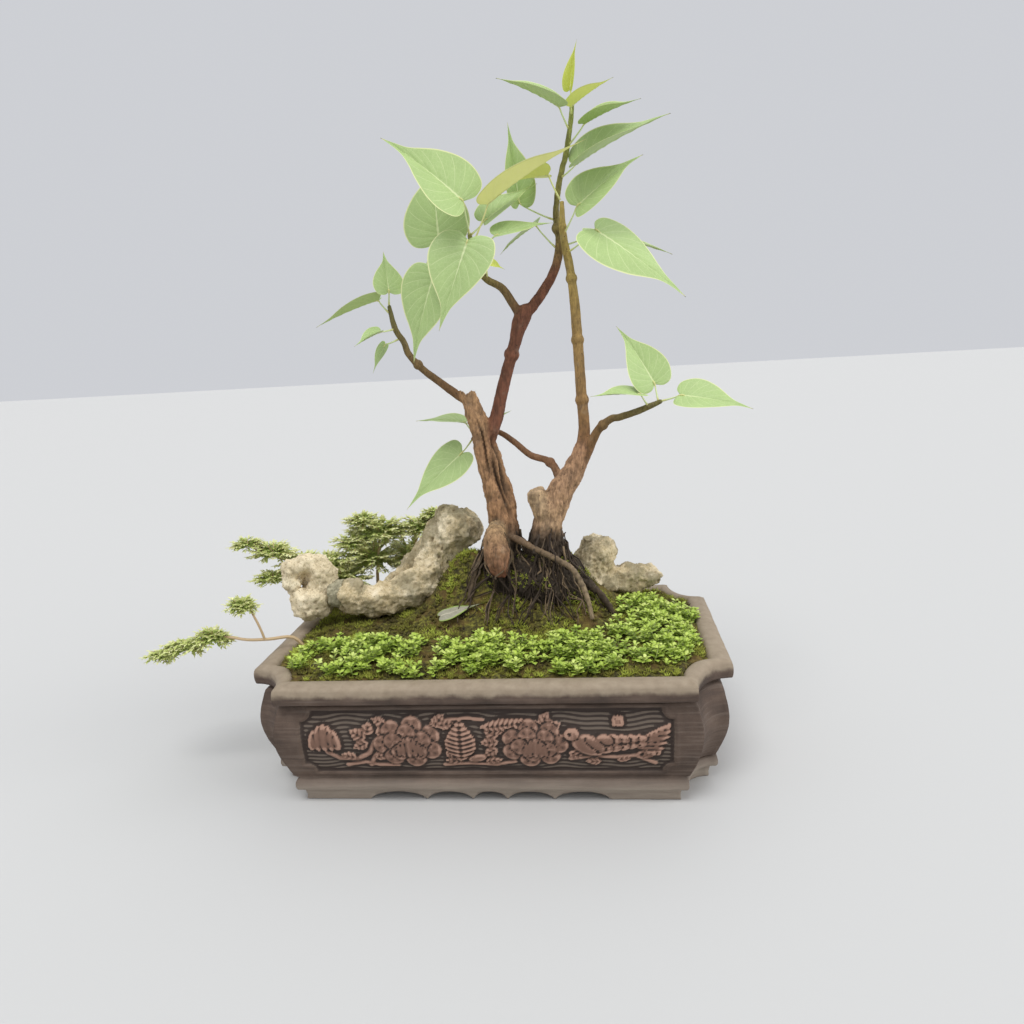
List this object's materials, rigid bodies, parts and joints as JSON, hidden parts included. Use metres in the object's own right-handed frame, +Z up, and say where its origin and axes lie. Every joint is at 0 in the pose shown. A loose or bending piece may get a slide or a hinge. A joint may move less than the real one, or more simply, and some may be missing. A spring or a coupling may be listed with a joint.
{
  "type": "bonsai tree in a pot",
  "caption": "Twin-trunked sacred fig bonsai with heart-shaped leaves, set with limestone, moss and creeping plants in a rectangular carved clay pot.",
  "frame": {"origin": "middle of the whole object's box in plan, on the surface the pot stands on", "axes": "+Z up, +X to the viewer's right along the pot's long side, +Y away from the viewer towards the back of the pot"},
  "size_m": [0.3652, 0.172, 0.4088],
  "materials": {
    "clay": "matte",
    "earth": "matte",
    "moss": "matte",
    "limestone": "matte",
    "cement": "matte",
    "bark": "matte",
    "leaf": "satin",
    "young_leaf": "satin",
    "dry_leaf": "matte",
    "shrub": "satin",
    "cover": "satin"
  },
  "bodies": {
    "root": {"pot": "clay", "soil": "earth", "moss_carpet": "moss", "stone_head": "limestone", "stone_ridge": "limestone", "stone_right": "limestone", "stone_joint": "cement", "tree": "bark", "leaf_top_bud": "young_leaf", "leaf_top_left": "leaf", "leaf_top_front": "young_leaf", "leaf_top_right": "leaf", "leaf_right_long": "leaf", "leaf_right_middle": "leaf", "leaf_right_big": "leaf", "leaf_right_behind": "leaf", "leaf_red_young": "young_leaf", "leaf_yellow_young": "young_leaf", "leaf_upright": "leaf", "leaf_inner_upper": "leaf", "leaf_inner_lower": "leaf", "leaf_inner_rear": "leaf", "leaf_left_high": "leaf", "leaf_left_round": "leaf", "leaf_front_hanging": "leaf", "leaf_left_hanging": "leaf", "leaf_left_shaded": "leaf", "leaf_small_up": "leaf", "leaf_small_thin": "leaf", "leaf_small_left": "leaf", "leaf_small_low": "leaf", "leaf_knot": "young_leaf", "leaf_cross_left": "leaf", "leaf_cross_right": "leaf", "leaf_low_hanging": "leaf", "leaf_tip_left": "leaf", "leaf_tip_up": "leaf", "leaf_tip_right": "leaf", "fallen_leaf": "dry_leaf", "shrub_trailing": "shrub", "shrub_left": "shrub", "shrub_low": "shrub", "shrub_crown": "shrub", "shrub_right": "shrub", "cover_front_left": "cover", "cover_front_inner_left": "cover", "cover_front_middle": "cover", "cover_front_right": "cover", "cover_right_corner": "cover", "cover_right_back": "cover", "cover_back": "cover"}
  },
  "joints": []
}
